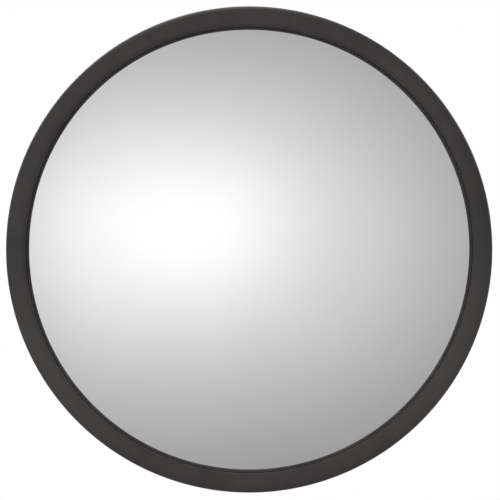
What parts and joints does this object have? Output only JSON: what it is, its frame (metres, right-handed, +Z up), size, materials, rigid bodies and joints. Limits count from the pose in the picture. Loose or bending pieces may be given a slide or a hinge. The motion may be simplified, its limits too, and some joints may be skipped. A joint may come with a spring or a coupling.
{
  "type": "convex security mirror",
  "caption": "Round convex mirror with a black channel edge and backing disc, on a ball-jointed, hinged arm with a wall plate.",
  "frame": {"origin": "centre of the wall plate's back face, on the wall's surface", "axes": "+Y into the wall along the wall face's outward normal, +Z up, +X to the right of a person who faces the mirror. The mirror faces -Y"},
  "size_m": [0.457, 0.3389, 0.457],
  "materials": {
    "mirror": "silvered acrylic, polished",
    "trim": "black soft vinyl, satin",
    "board": "brown hardboard, unpainted",
    "zinc": "bright zinc plate",
    "coat": "black powder coat, fine texture",
    "nylon": "natural nylon, moulded",
    "plug": "grey plastic, moulded"
  },
  "bodies": {
    "wall_bracket": {"wall_plate": "coat", "hinge_clevis": "coat", "wall_screw_1": "zinc", "wall_screw_2": "zinc", "wall_screw_3": "zinc", "wall_screw_4": "zinc", "wall_plug_1": "plug", "wall_plug_2": "plug", "wall_plug_3": "plug", "wall_plug_4": "plug", "friction_washer_left": "nylon", "friction_washer_right": "nylon", "pivot_bolt": "zinc", "pivot_washer": "zinc"},
    "wing_nut": {"wing_nut": "zinc"},
    "arm": {"arm_tongue": "coat", "arm_tube": "coat", "tube_pin_rear": "zinc", "tube_pin_front": "zinc", "socket_cup": "coat"},
    "lock_collar": {"lock_collar": "coat"},
    "ball_liner": {"ball_liner": "nylon"},
    "ball_stud": {"ball_stud": "zinc", "stud_washer": "zinc", "stud_nut": "zinc"},
    "mirror_head": {"mirror_lens": "mirror", "rim_trim": "trim", "back_board": "board", "hub_plate": "zinc", "backing_plate": "zinc", "hub_bolt_1": "zinc", "hub_bolt_2": "zinc", "hub_bolt_3": "zinc", "hub_bolt_4": "zinc", "hub_nut_1": "zinc", "hub_nut_2": "zinc", "hub_nut_3": "zinc", "hub_nut_4": "zinc"}
  },
  "joints": [
    {"name": "arm_hinge", "type": "hinge", "parent": "wall_bracket", "child": "arm", "pos_m": [0, -0.042, 0], "axis": [1, 0, 0], "range_deg": [-25, 25]},
    {"name": "wing_nut_turn", "type": "hinge", "parent": "wall_bracket", "child": "wing_nut", "pos_m": [0.02, -0.042, 0], "axis": [1, 0, 0], "range_deg": [0, 720]},
    {"name": "lock_collar_turn", "type": "hinge", "parent": "arm", "child": "lock_collar", "pos_m": [0, -0.2, 0], "axis": [0, -1, 0], "range_deg": [0, 360]},
    {"name": "head_pan", "type": "hinge", "parent": "arm", "child": "ball_liner", "pos_m": [0, -0.2, 0], "axis": [0, 0, 1], "range_deg": [-25, 25]},
    {"name": "head_tilt", "type": "hinge", "parent": "ball_liner", "child": "ball_stud", "pos_m": [0, -0.2, 0], "axis": [1, 0, 0], "range_deg": [-25, 25]},
    {"name": "head_roll", "type": "hinge", "parent": "ball_stud", "child": "mirror_head", "pos_m": [0, -0.2, 0], "axis": [0, -1, 0], "continuous": true}
  ]
}
